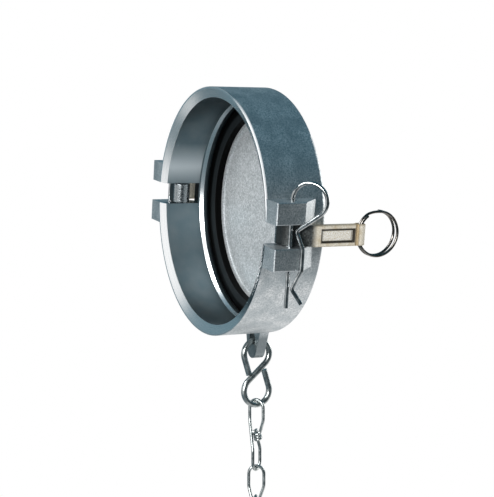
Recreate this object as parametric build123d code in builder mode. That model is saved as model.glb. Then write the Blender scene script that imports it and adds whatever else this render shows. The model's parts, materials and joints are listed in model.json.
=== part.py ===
from build123d import *
from math import acos, atan2, cos, degrees, radians, sin, sqrt
import os

# Camlock dust cap for a 6 inch male adapter, with its two cam levers, safety clips, finger rings,
# gasket and retaining chain. Millimetres. The bore lies along Y with its mouth towards -Y, the levers
# lie along X and the chain hangs from the eye below. The origin is on the bore axis, in the middle of
# the land that guides the adapter. Depths are measured from the mouth of the cap towards its closed end.

# Adapter and bore
adapter_radius = 87.9
adapter_clearance = 0.3
land_length = 2.8
bore_step = 1.4
ledge_depth = 33.5
ledge_length = 3.6
lead_in_length = 2.9
mouth_rim = 1.4

# Gasket and its groove
groove_undercut = 2.2
gasket_side_clearance = 0.7
gasket_width = 13.5
gasket_thickness = 6.35
gasket_corner = 0.8
gasket_setback = 2.1

# Shell
wall = 8.4
wall_edge = 2.5
end_wall = 5.6
shoulder_height = 4.5
shoulder_width = 14.0
shoulder_flat = 0.2
recess_ledge = 2.0
recess_depth = 1.6
recess_cove = 1.2
cut_margin = 1.0

# Lugs and slots
lug_height = 15.0
lug_width = 16.8
lug_flat = 23.6
lug_slope = 15.9
lug_edge = 1.0
slot_clearance = 0.2

# Pivot pins
pin_radius = 4.0
pin_stand = 2.5
pin_depth = 18.0
pin_edge = 0.5
pin_lug_clearance = 0.03
pin_hub_clearance = 0.08

# Levers
lever_width = 16.0
lever_side_clearance = 0.6
hub_wall = 2.5
nose_radius = 7.1
nose_reach = 2.0
neck_start = 3.0
neck_length = 13.0
neck_bend = 6.0
arm_length = 38.4
arm_thickness = 6.0
arm_bend = 4.0
arm_edge = 0.7
barrel_wall = 1.3
barrel_rise = 0.3
barrel_groove = 1.3
barrel_groove_sink = 0.9
panel_front_margin = 4.2
panel_back_margin = 1.0
panel_side_margin = 3.15
panel_corner = 1.6
panel_sink = 1.4

# Finger rings
ring_wire_radius = 1.05
ring_radius = 16.85
ring_coil_overlap = 0.1
ring_hole_clearance = 0.1
ring_lean = 2.0

# Safety clips
clip_wire_radius = 1.55
clip_hole_clearance = 0.25
clip_hub_clearance = 0.55
clip_lug_clearance = 0.85
clip_from_pin = 23.3
clip_turn = 45.0
clip_leg_past = 28.0
clip_loop_rise = 1.8
clip_loop_radius = 12.9
clip_neck_clearance = 1.2
clip_neck_height = 4.1
clip_belly_rise = 0.9
clip_pinch_below = 13.8
clip_pinch_clearance = 0.4
clip_tail_length = 10.1
clip_tail_flare = 7.8
clip_bend = 3.0

# Chain eye on the shell: a tongue that narrows from the shell to a round tip
eye_thickness = 8.2
eye_half_width = 13.0
eye_reach = 24.5
eye_tip_radius = 8.0
eye_hole_radius = 5.0
eye_hole_reach = 8.0

# S-hooks
hook_wire_radius = 2.45
hook_eye_radius = 11.5
hook_eye_gap = 7.7
hook_end_lean = 17.0
hook_end_gap = 0.3
hook_seat_clearance = 0.3

# Knotted chain
link_wire_radius = 1.3
link_half_width = 6.25
link_length = 58.0
link_crown_flat = 0.1
link_leg_gap = 0.15
link_leg_overlap = 2.0
link_taper = 12.0
link_taper_bend = 8.0
link_knee = 4.0
link_turns = (35.0, 61.0, 28.0, 58.0, 40.0)
long_wrap_turns = 3
short_wrap_turns = 1
wrap_bite = 0.15
wrap_drop = 1.8
chain_clearance = 0.3
hang_lean = 7.2
end_hook_turn = 20.0

# Radii across the bore, all stepped off from the adapter
land_radius = adapter_radius + adapter_clearance
bore_radius = land_radius + bore_step
groove_radius = land_radius + groove_undercut
gasket_outer_radius = groove_radius - gasket_side_clearance
gasket_inner_radius = gasket_outer_radius - gasket_width
recess_radius = gasket_inner_radius - recess_ledge
outer_radius = bore_radius + wall
lead_in_radius = outer_radius - mouth_rim

# Depths along the bore
land_depth = ledge_depth + ledge_length
groove_depth = land_depth + land_length
floor_depth = groove_depth + gasket_setback + gasket_thickness
back_depth = floor_depth + end_wall
wall_length = back_depth - shoulder_height
mouth = -(land_depth + land_length / 2)

# Lugs, lever and clip places
lug_reach = outer_radius + lug_height
lug_gap = lever_width + 2 * lever_side_clearance
lug_middle = (lug_gap + lug_width) / 2
lug_side = lug_gap / 2 + lug_width
pin_reach = outer_radius + pin_stand
hub_radius = pin_radius + hub_wall
nose_offset = pin_reach - nose_radius - (adapter_radius - nose_reach)
slot_length = pin_depth + nose_offset + nose_radius + slot_clearance
neck_depth = pin_depth + neck_start
arm_depth = neck_depth + neck_length
barrel_depth = arm_depth + arm_length
clip_from_hub = hub_radius + clip_wire_radius + clip_hub_clearance
clip_reach = pin_reach + clip_from_hub * cos(radians(clip_from_pin))
clip_depth = pin_depth - clip_from_hub * sin(radians(clip_from_pin))
eye_tip_height = outer_radius + eye_reach - eye_tip_radius
eye_hole_height = outer_radius + eye_hole_reach
eye_root_height = sqrt(outer_radius**2 - eye_half_width**2)


def flat(vector):
    """The vector as a point in the current plane."""
    return (vector.X, vector.Y)


def shell_profile():
    """Half section of the shell as turned about the bore axis: radius, then depth."""
    with BuildSketch(Plane.XY) as profile:
        with BuildLine():
            Polyline(
                (0, mouth + back_depth),
                (outer_radius - shoulder_width, mouth + back_depth),
                (outer_radius - wall_edge - shoulder_flat, mouth + wall_length),
                (outer_radius, mouth + wall_length),
                (outer_radius, mouth),
                (0, mouth),
                close=True,
            )
        make_face()
        fillet(profile.vertices().group_by(Axis.X)[-1].sort_by(Axis.Y)[-1], wall_edge)
    return profile.sketch


def bore_profile():
    """Half section of everything machined or cast out of the shell."""
    with BuildSketch(Plane.XY) as profile:
        with BuildLine():
            Polyline(
                (0, mouth - cut_margin),
                (lead_in_radius, mouth - cut_margin),
                (lead_in_radius, mouth),
                (bore_radius, mouth + lead_in_length),
                (bore_radius, mouth + ledge_depth),
                (land_radius, mouth + land_depth),
                (land_radius, mouth + groove_depth),
                (groove_radius, mouth + groove_depth),
                (groove_radius, mouth + floor_depth),
                (recess_radius, mouth + floor_depth),
                (recess_radius, mouth + floor_depth + recess_depth),
                (0, mouth + floor_depth + recess_depth),
                close=True,
            )
        make_face()
        fillet(profile.vertices().group_by(Axis.Y)[-1].sort_by(Axis.X)[-1], recess_cove)
    return profile.sketch


# Cap body: one casting with a turned bore, two pairs of lugs, two slots and the chain eye. The lugs and
# the eye start at the bore axis, and the bore then cuts away what is inside the shell.
with BuildPart() as cap_body:
    add(shell_profile())
    revolve(axis=Axis.Y)

    for side in (1, -1):
        for level in (lug_middle, -lug_middle):
            with BuildSketch(Plane.XY.offset(level)):
                with BuildLine():
                    Polyline(
                        (0, mouth),
                        (side * lug_reach, mouth),
                        (side * lug_reach, mouth + lug_flat),
                        (side * outer_radius, mouth + lug_flat + lug_slope),
                        (0, mouth + lug_flat + lug_slope),
                        close=True,
                    )
                make_face()
            extrude(amount=lug_width / 2, both=True)
    for end in (0, -1):
        fillet(cap_body.faces().filter_by(Axis.X).group_by(Axis.X)[end].edges(), lug_edge)

    with BuildSketch(Plane.XZ.offset(-(mouth + back_depth))):
        with Locations((0, -eye_tip_height)):
            Circle(eye_tip_radius)
        with Locations((0, -eye_root_height / 2)):
            Rectangle(2 * eye_half_width, eye_root_height)
        make_hull()
    extrude(amount=eye_thickness)

    add(bore_profile())
    revolve(axis=Axis.Y, mode=Mode.SUBTRACT)

    with BuildSketch(Plane.XY):
        with Locations((0, mouth + (slot_length - cut_margin) / 2)):
            Rectangle(2 * (lug_reach + cut_margin), slot_length + cut_margin)
    extrude(amount=lug_gap / 2, both=True, mode=Mode.SUBTRACT)

    with BuildSketch(Plane.XY):
        for side in (1, -1):
            with Locations((side * pin_reach, mouth + pin_depth)):
                Circle(pin_radius + pin_lug_clearance)
            with Locations((side * clip_reach, mouth + clip_depth)):
                Circle(clip_wire_radius + clip_hole_clearance)
    extrude(amount=lug_side + cut_margin, both=True, mode=Mode.SUBTRACT)

    with BuildSketch(Plane.XZ.offset(-(mouth + back_depth))):
        with Locations((0, -eye_hole_height)):
            Circle(eye_hole_radius)
    extrude(amount=eye_thickness, mode=Mode.SUBTRACT)
cap_body.part.label = "cap_body"

# Gasket: flat ring with softened corners, seated on the floor of its groove
with BuildPart() as gasket:
    with BuildSketch(Plane.XY):
        with BuildLine():
            Polyline(
                (gasket_inner_radius, mouth + floor_depth - gasket_thickness),
                (gasket_outer_radius, mouth + floor_depth - gasket_thickness),
                (gasket_outer_radius, mouth + floor_depth),
                (gasket_inner_radius, mouth + floor_depth),
                close=True,
            )
        make_face()
        fillet(vertices(), gasket_corner)
    revolve(axis=Axis.Y)
gasket.part.label = "gasket"

# Lever on the +X side, closed: the cam nose reaches through the slot and the arm lies along the shell
arm_inside = lug_reach - arm_thickness

# The barrel's hole leaves room for both coils of the ring, which curve through it
ring_sagitta = ring_radius - sqrt(ring_radius**2 - (lever_width / 2) ** 2)
coils_half_width = 2 * ring_wire_radius - ring_coil_overlap / 2
coils_half_height = ring_wire_radius + ring_sagitta / 2
ring_hole_radius = sqrt(coils_half_width**2 + coils_half_height**2) + ring_hole_clearance
barrel_radius = ring_hole_radius + barrel_wall
barrel_centre = (lug_reach + barrel_rise - barrel_radius, mouth + barrel_depth)
groove_centre = (lug_reach + barrel_groove - barrel_groove_sink, barrel_centre[1] - barrel_radius)

# The sunk panel fills the arm between its margins
panel_front = mouth + arm_depth + panel_front_margin
panel_back = groove_centre[1] - barrel_groove - panel_back_margin
panel_plane = Plane(origin=(lug_reach, (panel_front + panel_back) / 2, 0), x_dir=(0, 1, 0), z_dir=(1, 0, 0))

with BuildPart() as lever_right:
    with BuildSketch(Plane.XY):
        with Locations((pin_reach, mouth + pin_depth)):
            Circle(hub_radius)
        with Locations((pin_reach - nose_offset, mouth + pin_depth)):
            Circle(nose_radius)
        make_hull()
        with BuildLine():
            outside = FilletPolyline(
                (pin_reach + hub_radius, mouth + pin_depth),
                (pin_reach + hub_radius, mouth + neck_depth),
                (lug_reach, mouth + arm_depth),
                (lug_reach, mouth + barrel_depth),
                radius=(neck_bend, arm_bend),
            )
            inside = FilletPolyline(
                (arm_inside, mouth + barrel_depth),
                (arm_inside, mouth + arm_depth),
                (pin_reach, mouth + neck_depth),
                (pin_reach, mouth + pin_depth),
                radius=(arm_bend, neck_bend / 2),
            )
            Line(outside @ 1, inside @ 0)
            Line(inside @ 1, outside @ 0)
        make_face()
        with Locations(barrel_centre):
            Circle(barrel_radius)
    extrude(amount=lever_width / 2, both=True)
    fillet(lever_right.faces().filter_by(Axis.Z).edges(), arm_edge)

    with BuildSketch(Plane.XY):
        with Locations(groove_centre):
            Circle(barrel_groove)
        with Locations((pin_reach, mouth + pin_depth)):
            Circle(pin_radius + pin_hub_clearance)
        with Locations(barrel_centre):
            Circle(ring_hole_radius)
    extrude(amount=lever_width, both=True, mode=Mode.SUBTRACT)

    with BuildSketch(panel_plane):
        RectangleRounded(panel_back - panel_front, lever_width - 2 * panel_side_margin, panel_corner)
    extrude(amount=-panel_sink, mode=Mode.SUBTRACT)
lever_right.part.label = "lever_right"

# Pivot pin on the +X side, flush with the outer sides of the lugs
with BuildPart() as pivot_pin_right:
    with BuildSketch(Plane.XY):
        with Locations((pin_reach, mouth + pin_depth)):
            Circle(pin_radius)
    extrude(amount=lug_side, both=True)
    chamfer(pivot_pin_right.faces().filter_by(Axis.Z).edges(), pin_edge)
pivot_pin_right.part.label = "pivot_pin_right"

# Finger ring on the +X side: two coils side by side, threaded through the end of the arm
ring_out = Vector(-sin(radians(ring_lean)), cos(radians(ring_lean)), 0)
ring_centre = Vector(*barrel_centre, 0) + ring_out * (ring_radius - ring_sagitta / 2)
ring_plane = Plane(origin=ring_centre, x_dir=(0, 0, 1), z_dir=ring_out.cross(Vector(0, 0, 1)))
ring_coil_offset = ring_wire_radius - ring_coil_overlap / 2

with BuildPart(ring_plane) as finger_ring_right:
    with Locations((0, 0, ring_coil_offset), (0, 0, -ring_coil_offset)):
        Torus(ring_radius, ring_wire_radius)
finger_ring_right.part.label = "finger_ring_right"

# Safety clip on the +X side: straight leg through both lugs, loop above, waved leg outside the lugs.
# In the clip's plane the straight leg is at zero and the waved leg is offset outwards from it. From the
# loop the wire runs in a straight neck to a bend between the lugs, so the neck is a tangent of the loop.
clip_out = Vector(cos(radians(clip_turn)), sin(radians(clip_turn)), 0)
clip_plane = Plane(
    origin=(clip_reach, mouth + clip_depth, 0),
    x_dir=clip_out,
    z_dir=clip_out.cross(Vector(0, 0, 1)),
)
loop_centre = Vector(clip_loop_radius, lug_side + clip_loop_rise)
neck_end = Vector(2 * clip_wire_radius + clip_neck_clearance, clip_neck_height)
neck_from_centre = neck_end - loop_centre
neck_run = sqrt(neck_from_centre.length**2 - clip_loop_radius**2)
loop_end = atan2(neck_from_centre.Y, neck_from_centre.X) + atan2(neck_run, clip_loop_radius)
neck_top = loop_centre + Vector(cos(loop_end), sin(loop_end)) * clip_loop_radius
belly_offset = (lug_reach - clip_reach + clip_wire_radius + clip_lug_clearance) / clip_out.X
belly_bottom = -(lug_side - clip_belly_rise)
pinch = Vector(2 * clip_wire_radius + clip_pinch_clearance, -(lug_side + clip_pinch_below))
tail = pinch + Vector(clip_tail_flare, -clip_tail_length)

with BuildPart() as safety_clip_right:
    with BuildLine(clip_plane) as clip_path:
        Line((0, -(lug_side + clip_leg_past)), (0, loop_centre.Y))
        CenterArc(flat(loop_centre), clip_loop_radius, 180, degrees(loop_end) - 180)
        FilletPolyline(
            flat(neck_top),
            flat(neck_end),
            (belly_offset, -lug_gap / 2),
            (belly_offset, belly_bottom),
            flat(pinch),
            flat(tail),
            radius=clip_bend,
        )
    with BuildSketch(Plane(origin=clip_path.line @ 0, z_dir=clip_path.line % 0)):
        Circle(clip_wire_radius)
    sweep(path=clip_path.line)
safety_clip_right.part.label = "safety_clip_right"

# The same four pieces on the -X side
with BuildPart() as lever_left:
    mirror(lever_right.part, about=Plane.YZ)
lever_left.part.label = "lever_left"

with BuildPart() as pivot_pin_left:
    mirror(pivot_pin_right.part, about=Plane.YZ)
pivot_pin_left.part.label = "pivot_pin_left"

with BuildPart() as finger_ring_left:
    mirror(finger_ring_right.part, about=Plane.YZ)
finger_ring_left.part.label = "finger_ring_left"

with BuildPart() as safety_clip_left:
    mirror(safety_clip_right.part, about=Plane.YZ)
safety_clip_left.part.label = "safety_clip_left"

# The chain hangs on a line that leans a little from -Z, because the cap is held slightly rolled.
# The line starts at the middle of the wire in the chain eye.
eye_middle = mouth + back_depth - eye_thickness / 2
hook_sag = hook_eye_radius - sqrt(hook_eye_radius**2 - (eye_thickness / 2) ** 2)
hang_top = Vector(
    0, eye_middle, -eye_hole_height - eye_hole_radius + hook_wire_radius + hook_seat_clearance + hook_sag
)
hang_up = Vector(-sin(radians(hang_lean)), 0, cos(radians(hang_lean)))
hang_across = Vector(cos(radians(hang_lean)), 0, sin(radians(hang_lean)))


def hanging_plane(drop, turn):
    """Level plane on the hanging line, z up along the line and x turned from +X towards +Y."""
    level = hang_across * cos(radians(turn)) + Vector(0, 1, 0) * sin(radians(turn))
    return Plane(origin=hang_top - hang_up * drop, x_dir=level, z_dir=hang_up)


def hang(shape, drop, turn, label):
    """A copy of a hook or link, hung at a drop below the chain eye."""
    with BuildPart() as piece:
        with Locations(hanging_plane(drop, turn)):
            add(shape)
    piece.part.label = label
    return piece.part


# Closed S-hook, standing in the XZ plane with the middle of its top wire at the origin
hook_eye_spacing = 2 * hook_eye_radius + hook_eye_gap
hook_upper = Vector(0, -hook_eye_radius)
hook_lower = hook_upper - Vector(0, hook_eye_spacing)
hook_slant = acos(2 * hook_eye_radius / hook_eye_spacing)
hook_towards = Vector(sin(hook_slant), -cos(hook_slant)) * hook_eye_radius
hook_side = Vector(cos(radians(hook_end_lean)), sin(radians(hook_end_lean)))
hook_rise = Vector(-hook_side.Y, hook_side.X)
hook_arc = 270 + hook_end_lean - degrees(hook_slant)
hook_first = hook_upper - hook_side * hook_eye_radius
hook_last = hook_lower + hook_side * hook_eye_radius

# Each free end stops just short of the straight middle stretch
hook_normal = Vector(-cos(hook_slant), sin(hook_slant))
hook_cosine = hook_rise.dot(hook_normal)
hook_room = (hook_first - (hook_upper + hook_lower) / 2).dot(hook_normal)
hook_corner = hook_wire_radius * (1 + sqrt(1 - hook_cosine**2))
hook_end_length = (hook_room - hook_corner - hook_end_gap) / hook_cosine

with BuildPart() as hook:
    with BuildLine(Plane.XZ) as hook_path:
        Line(flat(hook_first - hook_rise * hook_end_length), flat(hook_first))
        CenterArc(flat(hook_upper), hook_eye_radius, 180 + hook_end_lean, -hook_arc)
        Line(flat(hook_upper + hook_towards), flat(hook_lower - hook_towards))
        CenterArc(flat(hook_lower), hook_eye_radius, 90 + degrees(hook_slant), hook_arc)
        Line(flat(hook_last), flat(hook_last + hook_rise * hook_end_length))
    with BuildSketch(Plane(origin=hook_path.line @ 0, z_dir=hook_path.line % 0)):
        Circle(hook_wire_radius)
    sweep(path=hook_path.line)

# Knotted link, with its upper loop in the XZ plane, its lower loop in the YZ plane and the middle of
# its top wire at the origin. The ends of the wire are wrapped round the legs at the waist.
link_waist = -link_length / 2
link_leg_spread = link_wire_radius + link_leg_gap
link_crown = link_half_width - link_crown_flat / 2
link_bends = (link_knee, link_taper_bend, link_crown, link_crown, link_taper_bend, link_knee)
leg_angle = atan2(link_half_width - link_leg_spread, link_taper)
wrap_radius = 2 * link_wire_radius
wrap_pitch = 2 * link_wire_radius - wrap_bite

with BuildPart() as link:
    for plane, way, tip in ((Plane.XZ, 1, 0), (Plane.YZ, -1, -link_length)):
        with BuildLine(plane) as link_path:
            FilletPolyline(
                (-link_leg_spread, link_waist - way * link_leg_overlap),
                (-link_leg_spread, link_waist),
                (-link_half_width, link_waist + way * link_taper),
                (-link_half_width, tip),
                (link_half_width, tip),
                (link_half_width, link_waist + way * link_taper),
                (link_leg_spread, link_waist),
                (link_leg_spread, link_waist - way * link_leg_overlap),
                radius=link_bends,
            )
        with BuildSketch(Plane(origin=link_path.line @ 0, z_dir=link_path.line % 0)):
            Circle(link_wire_radius)
        sweep(path=link_path.line)

    for plane, side, way, turns in ((Plane.YZ, 1, -1, long_wrap_turns), (Plane.XZ, -1, 1, short_wrap_turns)):
        along = Vector(side * sin(leg_angle), way * cos(leg_angle))
        middle = Vector(side * link_leg_spread, link_waist) + along * wrap_drop
        origin = plane.from_local_coords(flat(middle))
        wrap_axis = plane.from_local_coords(flat(middle + along)) - origin
        with BuildSketch(Plane(origin=origin, x_dir=plane.z_dir, z_dir=plane.z_dir.cross(wrap_axis))):
            with GridLocations(0, wrap_pitch, 1, turns):
                with Locations((wrap_radius, 0)):
                    Circle(link_wire_radius)
            with Locations((wrap_radius / 2, 0)):
                Rectangle(wrap_radius, wrap_pitch * (turns - 1) + link_wire_radius)
        revolve(axis=Axis(origin, wrap_axis))

# The chain: S-hook in the chain eye, then the links, then the hook at the far end
chain = [hang(hook.part, 0, 90, "s_hook")]
hook_length = hook_eye_spacing + 2 * hook_eye_radius
link_drop = hook_length - hook_wire_radius - link_wire_radius - chain_clearance
for number, turn in enumerate(link_turns, start=1):
    chain.append(hang(link.part, link_drop, turn, f"chain_link_{number}"))
    link_drop += link_length - 2 * link_wire_radius - chain_clearance
end_drop = link_drop + link_wire_radius - hook_wire_radius
chain.append(hang(hook.part, end_drop, link_turns[-1] + end_hook_turn, "end_hook"))

os.makedirs("parts", exist_ok=True)
for piece in (
    cap_body.part,
    gasket.part,
    lever_right.part,
    lever_left.part,
    pivot_pin_right.part,
    pivot_pin_left.part,
    finger_ring_right.part,
    finger_ring_left.part,
    safety_clip_right.part,
    safety_clip_left.part,
    *chain,
):
    export_step(piece, f"parts/{piece.label}.step")
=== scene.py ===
# %% [markdown]
# # A camlock dust cap, dressed around its fixed frame
# The frame holds every casting, lever, pin, clip and hook at its real size. Blender only adds what the
# eye wants: the skin of cast and turned metal, the split in a split ring, and a chain whose links are
# really knotted from one wire. Loading the frame comes first, because all that follows is placed by it.

# %% Load the frame
import json
from math import cos, pi, radians, sin

import bpy
import numpy as np
from mathutils import Matrix, Vector


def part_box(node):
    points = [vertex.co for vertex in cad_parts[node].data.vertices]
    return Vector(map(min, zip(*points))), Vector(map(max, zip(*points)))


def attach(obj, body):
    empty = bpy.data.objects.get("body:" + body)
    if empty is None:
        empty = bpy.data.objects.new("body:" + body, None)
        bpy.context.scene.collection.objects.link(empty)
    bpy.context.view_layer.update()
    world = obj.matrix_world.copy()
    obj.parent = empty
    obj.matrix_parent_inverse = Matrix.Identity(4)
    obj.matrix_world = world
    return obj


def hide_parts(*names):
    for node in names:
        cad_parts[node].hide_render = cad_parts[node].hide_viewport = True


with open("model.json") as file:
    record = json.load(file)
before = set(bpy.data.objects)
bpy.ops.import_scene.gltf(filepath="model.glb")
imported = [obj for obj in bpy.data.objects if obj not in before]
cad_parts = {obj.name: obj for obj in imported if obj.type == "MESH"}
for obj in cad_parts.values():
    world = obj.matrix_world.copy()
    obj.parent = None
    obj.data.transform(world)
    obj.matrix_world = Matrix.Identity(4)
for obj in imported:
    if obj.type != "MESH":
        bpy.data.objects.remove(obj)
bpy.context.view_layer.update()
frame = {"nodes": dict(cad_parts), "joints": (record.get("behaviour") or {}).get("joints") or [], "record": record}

MM = 0.001
joints = {joint["name"]: joint for joint in frame["joints"]}
print("frame pieces:", sorted(frame["nodes"]))

# %% [markdown]
# ## Helpers for materials
# Colours are written as people read them, in sRGB hex, and shaders want linear values, so one function
# turns the first into the second. One more function adds any shader node with its settings and links,
# which keeps a material a short list of what feeds what. Sizes of patterns are thought of in
# millimetres, and a texture wants features for each metre.

# %% Colour and node helpers
def linear(hex_colour):
    """Linear RGBA of an sRGB hex colour: each channel undone from its display curve."""
    channels = [int(hex_colour[i:i + 2], 16) / 255 for i in (1, 3, 5)]
    curve = [c / 12.92 if c <= 0.04045 else ((c + 0.055) / 1.055) ** 2.4 for c in channels]
    return (*curve, 1.0)


def find_socket(sockets, key):
    """The socket at a place in the list, or the one with that identifier, spaces as underscores."""
    if isinstance(key, int):
        return sockets[key]
    return next(socket for socket in sockets if socket.identifier.replace(" ", "_") == key)


def add_node(tree, kind, *inputs, output=0, **named):
    """Adds a shader node and returns one of its outputs. Inputs in order fill its sockets from the
    first. A name with a capital is a socket too, and any other is a setting of the node. An input
    that is another node's output becomes a link."""
    node = tree.nodes.new("ShaderNode" + kind)
    sockets = dict(enumerate(inputs))
    for name, value in named.items():
        if name[0].isupper():
            sockets[name] = value
        else:
            setattr(node, name, value)
    for key, value in sockets.items():
        socket = find_socket(node.inputs, key)
        if isinstance(value, bpy.types.NodeSocket):
            tree.links.new(value, socket)
        else:
            socket.default_value = value
    return find_socket(node.outputs, output) if len(node.outputs) else None


def per_metre(size_mm):
    """Texture scale that makes one feature of a pattern this many millimetres wide."""
    return 1 / (size_mm * MM)


# What a Mix node is told when it mixes two colours, and when it mixes two numbers
COLOURS = {"data_type": "RGBA", "output": "Result_Color"}
NUMBERS = {"data_type": "FLOAT", "output": "Result_Float"}

# %% [markdown]
# ## Helpers for whole materials
# Every material here starts empty and reads the place on the object, in metres, so a pattern stays where
# it is when a piece moves. Parts of one casting are told apart by shares, numbers from 0 to 1 that are
# worked out from that place, and a part that several shares describe is their product.

# %% Material helpers
def cleared_tree(owner):
    """The empty node tree of a material or a world."""
    owner.use_nodes = True
    owner.node_tree.nodes.clear()
    return owner.node_tree


def new_material(name):
    """An empty material, its node tree, and the place on the object as an output."""
    material = bpy.data.materials.new(name)
    tree = cleared_tree(material)
    return material, tree, add_node(tree, "TexCoord", output="Object")


def where_all(tree, first, *others):
    """Share that is full only where all the given shares are: their product."""
    share = first
    for other in others:
        share = add_node(tree, "Math", share, other, operation="MULTIPLY")
    return share


def around_the_bore(tree, place):
    """Distance from the bore's axis, and then the distances across it, along it and above it."""
    across, depth, height = add_node(tree, "SeparateXYZ", place).node.outputs
    flat_place = add_node(tree, "CombineXYZ", across, 0.0, height)
    radius = add_node(tree, "VectorMath", flat_place, operation="LENGTH", output="Value")
    return radius, across, depth, height


def wear(piece, material):
    """Gives a piece its only material."""
    piece.data.materials.clear()
    piece.data.materials.append(material)


# %% [markdown]
# ## Camera
# The photograph looks into the open mouth from its right, from a little above, and the cap is rolled a
# few degrees. A long lens from about a metre keeps the far rim nearly as large as the near one. The
# camera is set by the direction it looks from, the point it looks at and its roll.

# %% Camera at the photograph's angle
azimuth = radians(62.58)
elevation = radians(10.70)
roll = radians(3.41)
target = Vector((4.01, -4.62, -30.11)) * MM
distance = 1.1174

back = Vector((sin(azimuth) * cos(elevation), -cos(azimuth) * cos(elevation), sin(elevation)))
level = Vector((cos(azimuth), sin(azimuth), 0))
upright = back.cross(level)
right = level * cos(roll) + upright * sin(roll)
upward = back.cross(right)
camera_turn = Matrix((right, upward, back)).transposed().to_4x4()
camera = bpy.data.objects.new("camera", bpy.data.cameras.new("camera"))
camera.matrix_world = Matrix.Translation(target + back * distance) @ camera_turn
camera.data.lens = 101.13
camera.data.sensor_width = 36.0
camera.data.clip_start = 0.05
bpy.context.scene.collection.objects.link(camera)
bpy.context.scene.camera = camera
print("camera at", [round(c, 3) for c in camera.location])

# %% [markdown]
# ## World
# Bare metal shows what stands around it more than what shines on it. The photograph's background is pure
# white, yet its light is soft and plain. Light Path lets one world do both: it is white where it is seen
# or mirrored, and half as strong where it lights the object.

# %% World that looks white and lights softly
def seen_shares(tree):
    """Two shares: full for a ray from the camera or through glass, and full for mirrored rays as well."""
    rays = add_node(tree, "LightPath").node.outputs
    seen = add_node(tree, "Math", rays["Is Camera Ray"], rays["Is Transmission Ray"], operation="MAXIMUM")
    return seen, add_node(tree, "Math", seen, rays["Is Glossy Ray"], operation="MAXIMUM")


bpy.context.scene.view_settings.view_transform = "Standard"
world_light = 0.5
world = bpy.data.worlds.new("studio")
bpy.context.scene.world = world
tree = cleared_tree(world)
seen, seen_or_mirrored = seen_shares(tree)
strength = add_node(tree, "MapRange", seen_or_mirrored, 0.0, 1.0, world_light, 1.0)
sky = add_node(tree, "Background", (1, 1, 1, 1), strength)
add_node(tree, "OutputWorld", sky)
print("world light:", world_light)

# %% [markdown]
# ## Floor
# The floor is one large sheet of white paper far below the chain. It takes the object's shadow as plain
# paper does. What the metal mirrors of it is painted: white under and behind the cap, greyer in front of
# the mouth and to both sides, and two round pools of light that the photograph's steel and ledge show.

# %% Paper floor
floor_height = -0.56
half_floor = 7.0
# Each span goes from where a paint's share is 0 to where it is full: along Y, along X and along right_way
white_behind = (-0.35, 0.2)
dim_at_left = (-0.45, -1.0)
right_way = (0.89, 0.46, 0.0)
dark_at_right = (0.4, 1.2)


def stage_piece(name, vertices, faces):
    """A mesh that belongs to the studio and not to the object."""
    mesh = bpy.data.meshes.new(name)
    mesh.from_pydata(vertices, [], faces)
    piece = bpy.data.objects.new(name, mesh)
    bpy.context.scene.collection.objects.link(piece)
    return piece


def white_paper():
    """White paper that metal sees as a painted table: two ramps, a darker side and two pools of light."""
    paper, tree, place = new_material("white_paper_floor")
    across, away, _ = add_node(tree, "SeparateXYZ", place).node.outputs
    dim = linear("#60737B")
    behind = add_node(tree, "MapRange", away, *white_behind)
    mirrored = add_node(tree, "Mix", behind, A_Color=dim, B_Color=linear("#FFFFFF"), **COLOURS)
    to_left = add_node(tree, "MapRange", across, *dim_at_left)
    mirrored = add_node(tree, "Mix", to_left, A_Color=mirrored, B_Color=dim, **COLOURS)
    rightward = add_node(tree, "VectorMath", place, right_way, operation="DOT_PRODUCT", output="Value")
    to_right = add_node(tree, "MapRange", rightward, *dark_at_right)
    mirrored = add_node(tree, "Mix", to_right, A_Color=mirrored, B_Color=linear("#3A4448"), **COLOURS)
    # Each pool of light: its middle, the radius where it starts and where it is full, and its colour
    pools = (
        ((-1.03, -0.90, floor_height), 0.20, 0.12, "#FFFFFF"),
        ((0.65, 0.41, floor_height), 0.25, 0.10, "#C9D4D9"),
    )
    for middle, outer, inner, paint in pools:
        from_middle = add_node(tree, "VectorMath", place, middle, operation="DISTANCE", output="Value")
        share = add_node(tree, "MapRange", from_middle, outer, inner)
        mirrored = add_node(tree, "Mix", share, A_Color=mirrored, B_Color=linear(paint), **COLOURS)
    seen, seen_or_mirrored = seen_shares(tree)
    shown = add_node(tree, "Mix", seen, A_Color=mirrored, B_Color=linear("#FFFFFF"), **COLOURS)
    sheet = add_node(tree, "BsdfDiffuse", linear("#E6E8EA"))
    glow = add_node(tree, "Emission", shown, 1.0)
    add_node(tree, "OutputMaterial", add_node(tree, "MixShader", seen_or_mirrored, sheet, glow))
    paper.cycles.emission_sampling = "NONE"
    return paper


corners = [(x * half_floor, y * half_floor, floor_height) for x, y in ((-1, -1), (1, -1), (1, 1), (-1, 1))]
floor = stage_piece("floor", corners, [(0, 1, 2, 3)])
wear(floor, white_paper())
print("floor at", floor_height)

# %% [markdown]
# ## Painted dome
# The photograph's metal mirrors a dim bluish room with a few bright cards in it. A dome round the object
# carries that room as paint. It is hidden from the camera, from shadows and from soft light, so it only
# shows as a reflection. Each patch of paint is round: it grows with the cosine of the angle between the
# direction looked in and the middle of the patch.

# %% Dome that only metal sees
room_radius = 2.0
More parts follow.
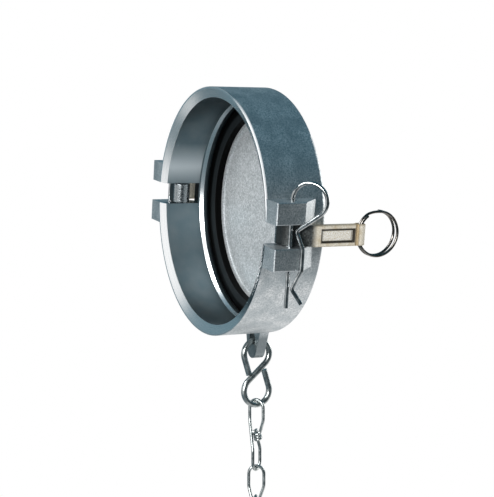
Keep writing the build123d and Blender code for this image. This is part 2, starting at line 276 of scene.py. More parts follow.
# Each patch: the direction of its middle, the cosine where it starts and where it is full, and its colour
room_paints = (
    ((-0.8, -0.5, -0.2), 0.5, 0.95, "#66818C"),
    ((0.87, -0.45, 0.2), 0.6, 0.97, "#2B2E2F"),
    ((0.87, 0.45, -0.19), 0.6, 0.95, "#525C60"),
    ((-0.4, 0.9, -0.19), 0.80, 0.94, "#E4E7E9"),
    ((-0.45, -0.89, 0.02), 0.93, 0.965, "#FFFFFF"),
    ((0.52, -0.72, 0.45), 0.96, 0.985, "#E2E8EA"),
    ((0.30, -0.70, 0.64), 0.96, 0.985, "#E2E8EA"),
    ((-0.02, -0.58, 0.81), 0.955, 0.98, "#E2E8EA"),
    ((0.20, -0.97, -0.10), 0.94, 0.975, "#FFFFFF"),
)


def dome_arrays(radius, rows=24, columns=48):
    """Vertices and quads of a sphere. Height angle runs along the rows and heading along the columns."""
    heights = np.linspace(-pi / 2, pi / 2, rows)
    headings = np.linspace(0, 2 * pi, columns)
    height, heading = np.meshgrid(heights, headings, indexing="ij")
    flat = np.cos(height)
    points = radius * np.stack([flat * np.cos(heading), flat * np.sin(heading), np.sin(height)], axis=-1)
    corner = (np.arange(rows - 1)[:, None] * columns + np.arange(columns - 1)[None, :]).reshape(-1)
    quads = np.stack([corner, corner + 1, corner + columns + 1, corner + columns], axis=1)
    return points.reshape(-1, 3), quads


def painted_room():
    """Slate blue overhead, with the patches of room_paints laid over each other in their order."""
    material, tree, place = new_material("painted_room")
    way = add_node(tree, "VectorMath", place, operation="NORMALIZE")
    colour = linear("#436D7E")
    for towards, outer, inner, paint in room_paints:
        middle = Vector(towards).normalized()
        cosine = add_node(tree, "VectorMath", way, middle, operation="DOT_PRODUCT", output="Value")
        share = add_node(tree, "MapRange", cosine, outer, inner)
        colour = add_node(tree, "Mix", share, A_Color=colour, B_Color=linear(paint), **COLOURS)
    add_node(tree, "OutputMaterial", add_node(tree, "Emission", colour, 1.0))
    material.cycles.emission_sampling = "NONE"
    return material


vertices, faces = dome_arrays(room_radius)
dome = stage_piece("room_dome", vertices.tolist(), faces.tolist())
wear(dome, painted_room())
dome.visible_camera = False
dome.visible_shadow = False
dome.visible_diffuse = False
print("patches of paint on the dome:", len(room_paints))

# %% [markdown]
# ## Lamps
# Three soft round lamps light what isn't mirror-like: the cast skin, the rubber and the bronze. The key
# hangs over the mouth, the fill comes from the right, where the camera is, and a weak one behind lifts
# the edges. They are weak enough that a pale surface keeps its colour.

# %% Soft lamps
# Name, place, width, watts and colour
lamps = (
    ("key_over_mouth", (-0.05, -1.0, 0.88), 0.7, 13, "#FFFFFF"),
    ("fill_right", (0.85, -1.0, 0.25), 0.45, 11, "#FFFFFF"),
    ("rim_behind", (-0.15, 1.3, 0.15), 0.6, 4.2, "#FFFCF8"),
)
for name, place, size, watts, colour in lamps:
    lamp = bpy.data.lights.new(name, "AREA")
    lamp.shape = "DISK"
    lamp.size = size
    lamp.energy = watts
    lamp.color = linear(colour)[:3]
    holder = bpy.data.objects.new(name, lamp)
    # A lamp shines along its own -Z, so it is aimed with Z at the object and then turned over
    to_object = (-Vector(place)).to_track_quat("Z", "Y").to_matrix().to_4x4()
    holder.matrix_world = Matrix.Translation(place) @ to_object @ Matrix.Rotation(pi, 4, "X")
    bpy.context.scene.collection.objects.link(holder)
print("lamps:", [lamp[0] for lamp in lamps])

# %% [markdown]
# ## Places on the casting
# The cap is a sand or gravity die casting, and then its lead-in, bore, ledge and land were turned on a
# lathe. It is one piece of metal, so it gets one material, and its parts are told apart by their radius
# and depth. Those sizes come from the frame: the land from its mount, the mouth and the shell from the
# cap's box, and the groove from the gasket's box.

# %% Cap sizes read from the frame
bore_mount = next(mount for mount in frame["record"]["mounts"] if mount["name"] == "adapter_bore")
land_radius = bore_mount["dims"]["r_mm"] * MM
cap_low, cap_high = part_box("cap_body")
mouth = cap_low.y
shell_radius = cap_high.z
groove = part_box("gasket")[0].y
rim_radius = shell_radius - 0.9 * MM  # middle of the mouth's outer edge
rim_width = 1.2 * MM  # how far the edge reaches to either side of it
print("mouth, land radius, shell radius:", [round(size, 4) for size in (mouth, land_radius, shell_radius)])

# Each span goes from where a part's share is 0 to where it is full, by radius or by depth
turned_radius = (land_radius + 9.6 * MM, land_radius + 9.4 * MM)
turned_depth = (groove + 0.9 * MM, groove + 0.7 * MM)
lead_in_end = (mouth + 3.0 * MM, mouth + 3.4 * MM)
ledge_start = (mouth + 33.8 * MM, mouth + 34.2 * MM)
ledge_end = (mouth + 37.1 * MM, mouth + 36.8 * MM)
disc_depth = (groove + 5.0 * MM, groove + 5.5 * MM)
disc_radius = (land_radius - 8.0 * MM, land_radius - 9.0 * MM)
closed_end = (cap_high.y - 2.0 * MM, cap_high.y - 2.5 * MM)


def casting_parts(tree, radius, depth):
    """Shares of the turned surfaces, of the bore and the ledge among them, and of the disc in the floor."""
    inside = add_node(tree, "MapRange", radius, *turned_radius)
    turned = where_all(tree, inside, add_node(tree, "MapRange", depth, *turned_depth))
    past_lead_in = add_node(tree, "MapRange", depth, *lead_in_end)
    past_bore = add_node(tree, "MapRange", depth, *ledge_start)
    before_land = add_node(tree, "MapRange", depth, *ledge_end)
    ledge = where_all(tree, past_bore, before_land, turned)
    bore = add_node(tree, "Math", past_lead_in, ledge, operation="SUBTRACT")
    at_floor = add_node(tree, "MapRange", depth, *disc_depth)
    middle = add_node(tree, "MapRange", radius, *disc_radius)
    not_the_back = add_node(tree, "MapRange", depth, *closed_end)
    return turned, bore, ledge, where_all(tree, at_floor, middle, not_the_back)


# %% [markdown]
# ## Painted light on the casting
# The mouth's edge at the upper right carries a painted highlight. A patch of the bore above the left slot
# carries a painted highlight too: it is paler and less metallic, so it scatters light where clean metal
# mirrors the dark inside. The lead-in at the lower right is painted darker as shade, and the chain's eye,
# under the shell, is painted greyer as shade.

# %% Shares of the places with painted light
# Spans as before: depths from the mouth, sides to the right and left of the axis, heights above it
edge_depth = (mouth + 1.4 * MM, mouth + 0.9 * MM)
right_side = (30 * MM, 60 * MM)
upper_right = (5 * MM, 20 * MM)
left_side = (-60 * MM, -75 * MM)
bore_highlight_top = (44 * MM, 22 * MM)
bore_highlight_foot = (5 * MM, 24 * MM)
bore_highlight_depth = (mouth + 33.0 * MM, mouth + 32.5 * MM)
lead_in_shade_top = (-5 * MM, -12 * MM)
lead_in_shade_foot = (-75 * MM, -55 * MM)
under_shell = (-shell_radius - 1.5 * MM, -shell_radius - 6.0 * MM)


def painted_light_places(tree, radius, across, depth, height):
    """Shares of the painted highlight on the mouth's edge, of the painted highlight on the bore wherever the bore
    is, and of the painted shade at the lower right.
    """
    # Painted highlight: a thin band on the mouth's edge at the upper right
    at_edge = add_node(tree, "MapRange", depth, *edge_depth)
    at_rim = add_node(tree, "Math", radius, rim_radius, rim_width, operation="COMPARE")
    at_right = add_node(tree, "MapRange", across, *right_side)
    painted_edge_highlight = where_all(tree, at_edge, at_rim, at_right, add_node(tree, "MapRange", height, *upper_right))
    # Painted highlight: a patch of the bore above the left slot
    at_left = add_node(tree, "MapRange", across, *left_side)
    low_enough = add_node(tree, "MapRange", height, *bore_highlight_top)
    high_enough = add_node(tree, "MapRange", height, *bore_highlight_foot)
    before_ledge = add_node(tree, "MapRange", depth, *bore_highlight_depth)
    painted_bore_highlight = where_all(tree, at_left, low_enough, high_enough, before_ledge)
    # Painted shade: the lower right side, where the lead-in is painted darker
    below = add_node(tree, "MapRange", height, *lead_in_shade_top)
    stain_and_painted_shade = where_all(tree, below, add_node(tree, "MapRange", height, *lead_in_shade_foot), at_right)
    return painted_edge_highlight, painted_bore_highlight, stain_and_painted_shade


# %% [markdown]
# ## Cast and turned aluminium
# Cast aluminium is a grey, finely grained metal with small pits and larger cloudy blotches. Turned
# aluminium is smoother, and its tool marks are fine rings about the bore: noise that is read along the
# radius and the depth only makes such rings. The ledge is a narrow cone whose edge is rolled over a
# little, so it mirrors more of what stands in front of the mouth. Its normal is tipped that way.

# %% Cap material
# The size of one feature of each pattern, in millimetres
grain_size = 1.2
blotch_size = 14.0
pit_size = 2.8
tool_mark_size = 0.9
# How far the ledge's normal is tipped towards the mouth, and how metallic a dull place is
ledge_tip = -0.35
dull_metal = 0.35


def cast_colour(tree, grain, blotch, disc, height):
    """Grey grain under blue-grey blotches, painted greyer on the chain's eye as shade under the shell, and darker
    on the floor's disc.
    """
    grain_share = add_node(tree, "MapRange", grain, 0.36, 0.64)
    skin_pair = {"A_Color": linear("#B2B8BA"), "B_Color": linear("#EEF0F1")}
    disc_pair = {"A_Color": linear("#8E9496"), "B_Color": linear("#C6CACC")}
    colour = add_node(tree, "Mix", grain_share, **skin_pair, **COLOURS)
    cloud = add_node(tree, "MapRange", blotch, 0.38, 0.68, 0.0, 0.55)
    colour = add_node(tree, "Mix", cloud, A_Color=colour, B_Color=linear("#97A3A8"), **COLOURS)
    # Painted shade: the chain's eye under the shell is painted greyer
    eye = add_node(tree, "MapRange", height, *under_shell, 0.0, 0.75)
    colour = add_node(tree, "Mix", eye, A_Color=colour, B_Color=linear("#7F898C"), **COLOURS)
    disc_colour = add_node(tree, "Mix", grain_share, **disc_pair, **COLOURS)
    return add_node(tree, "Mix", disc, A_Color=colour, B_Color=disc_colour, **COLOURS)


def turned_colour(tree, marks, blotch, bore, painted_bore_highlight, stain_and_painted_shade):
    """Bright cones with faint tool marks, with painted shade at the lower right, and a duller bore with its
    painted highlight.
    """
    cone_pair = {"A_Color": linear("#F0F3F4"), "B_Color": linear("#FFFFFF")}
    bore_pair = {"A_Color": linear("#72848B"), "B_Color": linear("#828F94")}
    cone = add_node(tree, "Mix", add_node(tree, "MapRange", marks, 0.3, 0.7), **cone_pair, **COLOURS)
    # Painted shade on the lead-in at the lower right
    cone = add_node(tree, "Mix", stain_and_painted_shade, A_Color=cone, B_Color=linear("#5F6A6F"), **COLOURS)
    wall = add_node(tree, "Mix", add_node(tree, "MapRange", blotch, 0.3, 0.75), **bore_pair, **COLOURS)
    # Painted highlight on the bore above the left slot, pale grey
    wall = add_node(tree, "Mix", painted_bore_highlight, A_Color=wall, B_Color=linear("#C4CDD1"), **COLOURS)
    return add_node(tree, "Mix", bore, A_Color=cone, B_Color=wall, **COLOURS)


def tipped_normal(tree, ledge):
    """The surface's normal with a tip towards the mouth added on the ledge, made one long again."""
    normal = add_node(tree, "NewGeometry", output="Normal")
    tip = add_node(tree, "CombineXYZ", 0.0, add_node(tree, "MapRange", ledge, 0.0, 1.0, 0.0, ledge_tip))
    return add_node(tree, "VectorMath", add_node(tree, "VectorMath", normal, tip), operation="NORMALIZE")


def cap_material():
    """Cast aluminium with turned surfaces. The painted highlights and the disc are less metallic, so they scatter.
    """
    material, tree, place = new_material("cast_and_turned_aluminium")
    radius, across, depth, height = around_the_bore(tree, place)
    turned, bore, ledge, disc = casting_parts(tree, radius, depth)
    painted_edge_highlight, painted_bore_highlight, stain_and_painted_shade = painted_light_places(tree, radius, across, depth, height)
    painted_bore_highlight = where_all(tree, painted_bore_highlight, bore, turned)
    dull = add_node(tree, "Math", disc, painted_edge_highlight, operation="MAXIMUM")
    dull = add_node(tree, "Math", dull, painted_bore_highlight, operation="MAXIMUM")

    grain = add_node(tree, "TexNoise", place, Scale=per_metre(grain_size), Detail=3.0, Roughness=0.6)
    blotch = add_node(tree, "TexNoise", place, Scale=per_metre(blotch_size), Detail=3.0)
    pits = add_node(tree, "TexNoise", place, Scale=per_metre(pit_size), Detail=2.0)
    rings = add_node(tree, "CombineXYZ", radius, depth)
    marks = add_node(tree, "TexNoise", rings, Scale=per_metre(tool_mark_size), Detail=2.0)

    cast = cast_colour(tree, grain, blotch, disc, height)
    machined = turned_colour(tree, marks, blotch, bore, painted_bore_highlight, stain_and_painted_shade)
    colour = add_node(tree, "Mix", turned, A_Color=cast, B_Color=machined, **COLOURS)
    # Painted highlight: the mouth's edge at the upper right is painted white
    colour = add_node(tree, "Mix", painted_edge_highlight, A_Color=colour, B_Color=linear("#FFFFFF"), **COLOURS)
    metal = add_node(tree, "MapRange", dull, 0.0, 1.0, 1.0, dull_metal)
    cast_rough = add_node(tree, "MapRange", grain, 0.3, 0.7, 0.40, 0.50)
    turned_rough = add_node(tree, "MapRange", bore, 0.0, 1.0, 0.24, 0.34)
    rough = add_node(tree, "Mix", turned, A_Float=cast_rough, B_Float=turned_rough, **NUMBERS)

    relief = add_node(tree, "Math", add_node(tree, "Math", grain, pits), 0.5, operation="MULTIPLY")
    relief = add_node(tree, "Mix", turned, A_Float=relief, B_Float=marks, **NUMBERS)
    lift = add_node(tree, "MapRange", turned, 0.0, 1.0, 0.6, 0.0)
    normal = tipped_normal(tree, ledge)
    bump = add_node(tree, "Bump", Height=relief, Strength=lift, Distance=0.2 * MM, Normal=normal)
    skin = add_node(
        tree, "BsdfPrincipled", Base_Color=colour, Metallic=metal, Roughness=rough, Normal=bump,
    )
    add_node(tree, "OutputMaterial", skin)
    return material


wear(frame["nodes"]["cap_body"], cap_material())
print("cap: one material for cast and turned metal")

# %% [markdown]
# ## Gasket rubber
# Nitrile rubber is black and has a weak broad sheen. It is not a metal, and its grain is fine and soft.
# A band of its face inside a radius is painted a little grey, as a painted sheen where the face catches light.

# %% Gasket material
# Spans of depth and radius in metres, and the grain in millimetres
face_depth = (groove + 0.4 * MM, groove + 0.2 * MM)
sheen_radius = (land_radius - 4.5 * MM, land_radius - 6.0 * MM)
rubber_grain_size = 1.2


def rubber_material():
    """Moulded black nitrile rubber, with a painted sheen: a greyed band on its face."""
    material, tree, place = new_material("moulded_nitrile_rubber")
    radius, _, depth, _ = around_the_bore(tree, place)
    grain = add_node(tree, "TexNoise", place, Scale=per_metre(rubber_grain_size), Detail=3.0)
    grain_share = add_node(tree, "MapRange", grain, 0.3, 0.7)
    # Painted sheen: the face is painted grey inside a radius
    inner = add_node(tree, "MapRange", radius, *sheen_radius)
    painted_face_sheen = where_all(tree, inner, add_node(tree, "MapRange", depth, *face_depth))
    black_pair = {"A_Color": linear("#010101"), "B_Color": linear("#030303")}
    black = add_node(tree, "Mix", grain_share, **black_pair, **COLOURS)
    colour = add_node(tree, "Mix", painted_face_sheen, A_Color=black, B_Color=linear("#1B1F21"), **COLOURS)
    bump = add_node(tree, "Bump", Height=grain, Strength=0.15, Distance=0.2 * MM)
    skin = add_node(
        tree, "BsdfPrincipled", Base_Color=colour, Roughness=0.55, Specular_IOR_Level=0.06, Normal=bump,
    )
    add_node(tree, "OutputMaterial", skin)
    return material


wear(frame["nodes"]["gasket"], rubber_material())
print("gasket: black rubber, grey inside radius", round(sheen_radius[0], 4))

# %% [markdown]
# ## Places on a lever
# A lever is one casting too. Its arm is bright, while the neck, the hub and the nose, which sit in the
# slot, are painted dark as shade, except the nose's worn face. The sunk panel on the arm is painted with
# shade along its walls. Distances from the panel's outline tell its floor, walls and edges apart: the
# larger of how far a place lies past its length and past its height, which is negative inside.

# %% Lever sizes and the shares of its parts
arm_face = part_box("lever_right")[1].x
panel_front = mouth + 38.2 * MM
panel_back = mouth + 66.2 * MM
panel_half_height = 4.85 * MM
groove_across_arm = panel_back + 2.3 * MM

# Spans by depth, by distance from the middle plane, by distance past the panel's outline, and by height
arm_start = (mouth + 30.5 * MM, mouth + 34.5 * MM)
hub_end = (mouth + 24.0 * MM, mouth + 19.0 * MM)
outer_side = (arm_face - 2.2 * MM, arm_face - 1.7 * MM)
nose_face = (arm_face - 20.0 * MM, arm_face - 20.8 * MM)
panel_floor = (-0.8 * MM, -1.6 * MM)
wall_offset = 0.3 * MM
wall_shade_reach = (0.5 * MM, 1.2 * MM)
arm_edge = (6.8 * MM, 7.9 * MM)
shaded_end = (panel_back - 3.2 * MM, panel_back - 0.8 * MM)
shaded_top = (3.3 * MM, 4.6 * MM)
groove_shade_reach = (0.8 * MM, 2.2 * MM)


def panel_parts(tree, aside, depth, height):
    """Shares of the panel's floor, of the painted shade along its walls and of the painted shade in the floor's
    corner.
    """
    past_middle = add_node(tree, "Math", depth, (panel_front + panel_back) / 2, operation="SUBTRACT")
    past_middle = add_node(tree, "Math", past_middle, operation="ABSOLUTE")
    along = add_node(tree, "Math", past_middle, (panel_back - panel_front) / 2, operation="SUBTRACT")
    above = add_node(tree, "Math", height, operation="ABSOLUTE")
    above = add_node(tree, "Math", above, panel_half_height, operation="SUBTRACT")
    edge = add_node(tree, "Math", along, above, operation="MAXIMUM")
    outside = add_node(tree, "MapRange", aside, *outer_side)
    floor_share = where_all(tree, add_node(tree, "MapRange", edge, *panel_floor), outside)
    # Painted shade: a dark band along the panel's walls
    from_wall = add_node(tree, "Math", add_node(tree, "Math", edge, wall_offset), operation="ABSOLUTE")
    painted_wall_shade = where_all(tree, add_node(tree, "MapRange", from_wall, *wall_shade_reach, 1.0, 0.0), outside)
    at_end = add_node(tree, "MapRange", depth, *shaded_end)
    at_top = add_node(tree, "MapRange", height, *shaded_top, 0.0, 0.6)
    corner = add_node(tree, "Math", at_end, at_top, operation="MAXIMUM")
    return floor_share, painted_wall_shade, where_all(tree, corner, floor_share, 0.8)


# %% [markdown]
# ## Lever bronze
# The levers are cast in a pale bronze that is left as it comes: creamy and finely pitted, with painted
# shade in greys and olive browns where it lies in the slot, along the panel and in the groove. The bright
# arm scatters more light than it mirrors, so it is set to be little metallic there and fully so in the dark
# places. The panel's floor is bare and finely specked.

# %% Lever material
# The size of one feature of each pattern, in millimetres
bronze_grain_size = 1.1
bronze_stain_size = 7.0
speck_size = 0.9


def arm_colour(tree, grain, stain, place):
    """Two colours: cream bronze with brown stains, and the paler specked floor of the panel."""
    cream_pair = {"A_Color": linear("#D4CAB5"), "B_Color": linear("#F5EFE1")}
    floor_pair = {"A_Color": linear("#DDD2B8"), "B_Color": linear("#FFFEFA")}
    colour = add_node(tree, "Mix", add_node(tree, "MapRange", grain, 0.32, 0.68), **cream_pair, **COLOURS)
    stain_and_painted_shade = add_node(tree, "MapRange", stain, 0.45, 0.75, 0.0, 0.6)
    colour = add_node(tree, "Mix", stain_and_painted_shade, A_Color=colour, B_Color=linear("#C2AF8A"), **COLOURS)
    speck = add_node(tree, "TexNoise", place, Scale=per_metre(speck_size), Detail=2.0)
    cream = add_node(tree, "Mix", add_node(tree, "MapRange", speck, 0.35, 0.62), **floor_pair, **COLOURS)
    return colour, cream


def lever_material():
    """Pale cast bronze: bright along the arm, with painted shade at the neck and hub, worn on the nose,
    and with painted shade along the sunk panel's walls and corner, in the groove and along the arm's edges."""
    material, tree, place = new_material("pale_cast_bronze")
    across, depth, height = add_node(tree, "SeparateXYZ", place).node.outputs
    aside = add_node(tree, "Math", across, operation="ABSOLUTE")
    grain = add_node(tree, "TexNoise", place, Scale=per_metre(bronze_grain_size), Detail=4.0, Roughness=0.6)
    stain = add_node(tree, "TexNoise", place, Scale=per_metre(bronze_stain_size), Detail=2.0)
    floor_share, painted_wall_shade, corner = panel_parts(tree, aside, depth, height)
    arm = add_node(tree, "MapRange", depth, *arm_start)
    bright, cream = arm_colour(tree, grain, stain, place)

    # Painted shade: the neck, the hub and the nose in the slot are painted dark grey, darkest at the hub
    dull_pair = {"A_Color": linear("#434544"), "B_Color": linear("#767978")}
    worn_pair = {"A_Color": linear("#7C8385"), "B_Color": linear("#B9BEC0")}
    dull = add_node(tree, "Mix", add_node(tree, "MapRange", grain, 0.35, 0.65), **dull_pair, **COLOURS)
    hub = add_node(tree, "MapRange", depth, *hub_end, 0.0, 0.6)
    dull = add_node(tree, "Mix", hub, A_Color=dull, B_Color=linear("#26282A"), **COLOURS)
    # Painted shade: darker olive brown along the arm's top and bottom edges
    above = add_node(tree, "Math", height, operation="ABSOLUTE")
    painted_arm_edge_shade = where_all(tree, add_node(tree, "MapRange", above, *arm_edge, 0.0, 0.6), arm)
    worn = add_node(tree, "MapRange", aside, *nose_face)
    worn_colour = add_node(tree, "Mix", grain, **worn_pair, **COLOURS)
    # Painted shade: a darker tan band in the groove across the arm
    from_groove = add_node(tree, "Math", depth, groove_across_arm, operation="SUBTRACT")
    from_groove = add_node(tree, "Math", from_groove, operation="ABSOLUTE")
    painted_groove_shade = add_node(tree, "MapRange", from_groove, *groove_shade_reach, 0.8, 0.0)

    # The layers of colour, from the painted shade of the neck to the painted shade along the panel's walls, which
    # lies over all
    layers = (
        (arm, bright),
        (floor_share, cream),
        (painted_arm_edge_shade, linear("#7E6E4F")),
        (corner, linear("#2A2219")),
        (worn, worn_colour),
        (painted_groove_shade, linear("#A58C5F")),
        (where_all(tree, painted_wall_shade, 0.95), linear("#1E1913")),
    )
    colour = dull
    for share, layer in layers:
        colour = add_node(tree, "Mix", share, A_Color=colour, B_Color=layer, **COLOURS)
    metal = add_node(tree, "MapRange", arm, 0.0, 1.0, 1.0, 0.2)
    rough = add_node(tree, "MapRange", grain, 0.3, 0.7, 0.34, 0.52)
    rough = add_node(tree, "Math", rough, where_all(tree, worn, 0.16), operation="SUBTRACT")
    bump = add_node(tree, "Bump", Height=grain, Strength=0.5, Distance=0.2 * MM)
    skin = add_node(
        tree, "BsdfPrincipled", Base_Color=colour, Metallic=metal, Roughness=rough, Normal=bump,
    )
    add_node(tree, "OutputMaterial", skin)
    return material


bronze = lever_material()
for side in ("right", "left"):
    wear(frame["nodes"][f"lever_{side}"], bronze)
print("levers: panel from", round(panel_front, 4), "to", round(panel_back, 4))

# %% [markdown]
# ## Steel wire and pins
# The clips are bright spring steel, the finger rings darker spring steel, and the hooks and chain are
# zinc-plated wire. Drawn wire has a crisp highlight along its length and black beside it. The pins are
# turned steel. All four differ only in their greys, in how rough they are and in the size of their
# streaks, so one function makes them.

# %% Steel materials
def steel_material(name, dark_hex, light_hex, smooth, coarse, streak_size):
    """Drawn or turned steel: two close greys and a roughness that wanders between smooth and coarse."""
    material, tree, place = new_material(name)
    streak = add_node(tree, "TexNoise", place, Scale=per_metre(streak_size), Detail=2.0)
    share = add_node(tree, "MapRange", streak, 0.35, 0.65)
    colour = add_node(tree, "Mix", share, A_Color=linear(dark_hex), B_Color=linear(light_hex), **COLOURS)
    rough = add_node(tree, "MapRange", streak, 0.3, 0.7, smooth, coarse)
    skin = add_node(tree, "BsdfPrincipled", Base_Color=colour, Metallic=1.0, Roughness=rough)
    add_node(tree, "OutputMaterial", skin)
    return material


spring_wire = steel_material("bright_spring_wire", "#96999A", "#C8CACA", 0.08, 0.16, 5.0)
zinc_wire = steel_material("zinc_plated_wire", "#A3A8A7", "#CFD3D1", 0.24, 0.34, 4.0)
ring_steel = steel_material("dark_ring_wire", "#625E59", "#8D8984", 0.14, 0.24, 5.0)
pin_steel = steel_material("turned_pin_steel", "#8E9294", "#AEB1B2", 0.22, 0.36, 2.0)
steel_pieces = {
    "safety_clip_right": spring_wire,
    "safety_clip_left": spring_wire,
    "s_hook": zinc_wire,
    "end_hook": zinc_wire,
    "pivot_pin_right": pin_steel,
    "pivot_pin_left": pin_steel,
}
for name, steel in steel_pieces.items():
    wear(frame["nodes"][name], steel)
print("steel pieces:", sorted(steel_pieces))

# %% [markdown]
# ## Wires as a circle carried along a path
# Rings and links are bent wire. Each is made here the same way: a path worked out as an array of points,
# and a circle carried along it by frames that turn as little as they can from point to point. The whole
# skin is one array, so no loop runs over its vertices.

# %% Path and tube helpers
def smooth_path(points, count):
    """Resamples a path at even distances along its length, by straight interpolation between points."""
    steps = np.linalg.norm(np.diff(points, axis=0), axis=1)
    along = np.concatenate([[0], np.cumsum(steps)])
    even = np.linspace(0, along[-1], count)
    return np.stack([np.interp(even, along, points[:, axis]) for axis in range(3)], axis=1)


def least_twist_frames(path):
    """Tangent, normal and binormal at each point. Each normal is the last one less its part along the
    new tangent, which is the frame that twists least."""
    tangent = np.gradient(path, axis=0)
    tangent /= np.linalg.norm(tangent, axis=1)[:, None]
    helper = np.eye(3)[np.argmin(np.abs(tangent[0]))]
    normal = np.zeros_like(path)
    current = np.cross(tangent[0], helper)
    for index, way in enumerate(tangent):
        current = current - way * current.dot(way)
        current = current / np.linalg.norm(current)
        normal[index] = current
    return tangent, normal, np.cross(tangent, normal)


def tube_faces(rows, sides):
    """Quads between neighbouring rings, and a fan from each end ring to the point in its middle. Those
    two points come after the rings."""
    row, side = np.meshgrid(np.arange(rows - 1), np.arange(sides), indexing="ij")
    following = (side + 1) % sides
    near, far = row * sides, (row + 1) * sides
    quads = np.stack([near + side, near + following, far + following, far + side], axis=-1).reshape(-1, 4)
    ring = np.arange(sides)
    following = (ring + 1) % sides
    start_point = np.full(sides, rows * sides)
    last_row = (rows - 1) * sides
    first = np.stack([following, ring, start_point], axis=1)
    last = np.stack([last_row + ring, last_row + following, start_point + 1], axis=1)
    return quads.tolist() + first.tolist() + last.tolist()


# The ring between a wire's cut end and its full size: how far in it sits, and how much it is still drawn in
end_ring_in = 0.4
end_ring_drawn = 0.3


def tube_arrays(path, radius, sides, end_round):
    """Vertices and faces of a closed round tube: at each point of the path a circle, the cosine of its
    angle along the normal and the sine along the binormal. Each end draws in over two extra rings, as a
    cut wire with its edge filed, and end_round is the share of the radius that it draws in by."""
    tangent, normal, binormal = least_twist_frames(path)
    inset = radius * end_round
    inward = np.array([0, end_ring_in, 1])[:, None] * inset
    start = path[0] + tangent[0] * inward
    end = path[-1] - tangent[-1] * inward[::-1]
    spine = np.vstack([start, path[1:-1], end])
    shrink = np.ones(len(spine))
    shrink[[0, -1]] = 1 - end_round
    shrink[[1, -2]] = 1 - end_round * end_ring_drawn
    picks = np.concatenate([[0, 0], np.arange(len(path)), [-1, -1]])
    angle = np.linspace(0, 2 * pi, sides, endpoint=False)[None, :, None]
    circle = np.cos(angle) * normal[picks][:, None, :] + np.sin(angle) * binormal[picks][:, None, :]
    rings = spine[:, None, :] + radius * shrink[:, None, None] * circle
    return np.vstack([rings.reshape(-1, 3), spine[0], spine[-1]]), tube_faces(len(spine), sides)


def wire_piece(name, vertices, faces, material, body, stands_for):
    """A smooth shaded mesh in metres, tied to its body, that hides the frame's node it stands for."""
    mesh = bpy.data.meshes.new(name)
    mesh.from_pydata(vertices.tolist(), [], faces)
    mesh.polygons.foreach_set("use_smooth", [True] * len(mesh.polygons))
    mesh.update()
    piece = bpy.data.objects.new(name, mesh)
    bpy.context.scene.collection.objects.link(piece)
    wear(piece, material)
    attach(piece, body)
    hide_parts(stands_for)
    print(name, "faces", len(mesh.polygons))


# %% [markdown]
# ## Split rings
# A split ring is one wire wound twice round, with its two turns pressed together. Where one turn becomes
# the other the wire steps sideways, and the two cut ends lie either side of that step. The wire is round
# in section. It is one path: an angle that runs round twice and an offset that steps. A used ring is
# sprung open a little, so its turns fan apart on the side away from the lever.

# %% Split rings in the place of the frame's plain coils
ring_wire = 1.05 * MM
ring_spacing = 2.1 * MM
ring_fan = 1.5
ring_step_angle = radians(106)
ring_step_width = radians(38)


def split_ring_path(centre, out, radius, count=260):
    """Points of a wire wound twice round. The angle runs round twice, less half a step at each end, and
    the offset along the ring's axis climbs smoothly from one side to the other in the middle. The fan
    widens that offset with the cosine of the angle, from nothing at the lever to the most opposite it."""
    angle = np.linspace(ring_step_width / 2, 4 * pi - ring_step_width / 2, count)
    share = np.clip((angle - (2 * pi - ring_step_width / 2)) / ring_step_width, 0, 1)
    turn = angle + ring_step_angle
    offset = (share * share * (3 - 2 * share) - 0.5) * ring_spacing
    offset *= 1 + ring_fan * (1 + np.cos(turn)) / 2
    up = np.array([0, 0, 1.0])
    circle = np.cos(turn)[:, None] * out + np.sin(turn)[:, None] * up
    return centre + radius * circle + offset[:, None] * np.cross(up, out)


for side in ("right", "left"):
    node = f"finger_ring_{side}"
    low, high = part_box(node)
    centre = np.array((low + high) / 2)
    out = centre - np.array(joints[f"{side}_ring_hinge"]["pos_m"])
    out[2] = 0
    out /= np.linalg.norm(out)
    path = split_ring_path(centre, out, (high.z - low.z) / 2 - ring_wire)
    vertices, faces = tube_arrays(path, ring_wire, sides=16, end_round=0.15)
    wire_piece(f"split_ring_{side}", vertices, faces, ring_steel, f"{side}_ring", node)

# %% [markdown]
# ## Knotted links
# Each link is one length of wire bent into a loop above and a loop below, at right angles to each other.
# One end is wound nearly three times round a leg of the lower loop, and the other end hooks once round a
# leg of the upper loop. The path is built from straight, round and helical stretches, resampled evenly
# and then averaged over a few millimetres, which bends every corner the way wire bends. That averaging
# lowers the loops' crowns a little, so the link is made longer by as much.

# %% Knotted link path, in millimetres with its top at zero
link_wire = 1.3
link_half_width = 6.25
crown_sag = 0.11
link_length = 58.0 + 2 * crown_sag
leg_spread = 1.45
taper = 12.0
waist = -link_length / 2
wound_radius = 2 * link_wire
long_winding = {"turns": 2.75, "rise": 6.6, "count": 60}
long_winding_start = 5.2
short_winding = {"turns": 0.86, "rise": 2.4, "count": 24}
short_winding_start = 0.8


def loop_points(sign, across_axis):
    """One loop from leg to leg: straight taper, straight leg, half circle, leg and taper. The sign is 1
    for the upper loop and -1 for the lower one, and the leg on the positive side comes first."""
    turn = np.linspace(0, pi, 25)
    crown_middle = waist + sign * (-waist - link_half_width)
    crown = link_half_width * np.cos(turn)
    crown_height = crown_middle + sign * link_half_width * np.sin(turn)
    leg_end = waist + sign * taper
    points = np.zeros((len(turn) + 4, 3))
    points[:, across_axis] = [leg_spread, link_half_width, *crown, -link_half_width, -leg_spread]
    points[:, 2] = [waist, leg_end, *crown_height, leg_end, waist]
    return points


def helix_points(start, along, first, turns, rise, count):
    """A helix of the wound wire about a leg, from start: the angle is measured from the direction first,
    squared up to the leg."""
    first = first - along * first.dot(along)
    first /= np.linalg.norm(first)
    second = np.cross(along, first)
    angle = np.linspace(0, 2 * pi * turns, count)
    circle = np.cos(angle)[:, None] * first + np.sin(angle)[:, None] * second
    return start + along * np.linspace(0, rise, count)[:, None] + wound_radius * circle


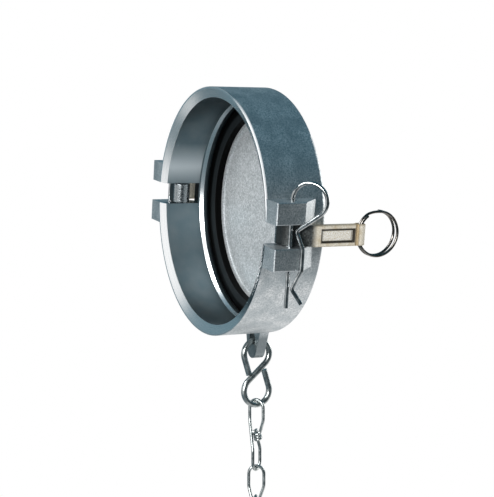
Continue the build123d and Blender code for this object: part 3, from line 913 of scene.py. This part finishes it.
def knotted_link_path(spacing=0.55, bend_length=3.0):
    """The whole wire of one link, from the end of the long winding to the tip of the short one. The
    evenly spaced points are averaged with a bell-shaped window that is twice bend_length wide."""
    y = np.array([0, 1.0, 0])
    lower_way = np.array([0, link_half_width - leg_spread, -taper])
    lower_way /= np.linalg.norm(lower_way)
    lower_start = np.array([0, leg_spread, waist]) + lower_way * long_winding_start
    upper_way = np.array([-(link_half_width - leg_spread), 0, taper])
    upper_way /= np.linalg.norm(upper_way)
    upper_start = np.array([-leg_spread, 0, waist]) + upper_way * short_winding_start
    points = np.vstack([
        helix_points(lower_start, -lower_way, y, **long_winding),
        loop_points(1, 0)[1:-1],
        loop_points(-1, 1)[::-1][1:-1],
        helix_points(upper_start, upper_way, y, **short_winding),
    ])
    length = np.linalg.norm(np.diff(points, axis=0), axis=1).sum()
    path = smooth_path(points, int(length / spacing))
    reach = int(bend_length / spacing)
    window = np.hanning(2 * reach + 3)[1:-1]
    window /= window.sum()
    padded = np.pad(path, ((reach, reach), (0, 0)), mode="edge")
    return np.stack([np.convolve(padded[:, axis], window, mode="valid") for axis in range(3)], axis=1)


link_path = knotted_link_path()
print("wire in one link:", round(np.linalg.norm(np.diff(link_path, axis=0), axis=1).sum()), "mm")

# %% [markdown]
# ## Chain
# Every link hangs in the crown of the one above it, and each is turned about the chain from that one.
# Where a link hangs and how it is turned is already in the frame: its own hinge is the wire that carries
# it, and the next hinge's axis runs through its lower loop. So the one path is copied to five places.

# %% Links in their places on the chain
hook_wire = 2.45 * MM
seat_gap = 0.3 * MM
hang_top = np.array(joints["hook_swing"]["pos_m"])
hang_end = np.array(joints["far_hook_swing"]["pos_m"])
hang_up = (hang_top - hang_end) / np.linalg.norm(hang_top - hang_end)
link_count = sum(name.startswith("chain_link") for name in frame["nodes"])
for number in range(1, link_count + 1):
    hinge = np.array(joints[f"link_{number}_swing"]["pos_m"])
    next_joint = f"link_{number + 1}_swing" if number < link_count else "far_hook_swing"
    local_y = np.array(joints[next_joint]["axis"])
    to_chain = np.array([np.cross(local_y, hang_up), local_y, hang_up])
    carrier = hook_wire if number == 1 else link_wire * MM
    top = hinge + hang_up * (carrier + (link_wire + crown_sag) * MM + seat_gap)
    vertices, faces = tube_arrays(top + MM * link_path @ to_chain, link_wire * MM, sides=14, end_round=0.2)
    node = f"chain_link_{number}"
    wire_piece(f"knotted_link_{number}", vertices, faces, zinc_wire, f"link_{number}", node)
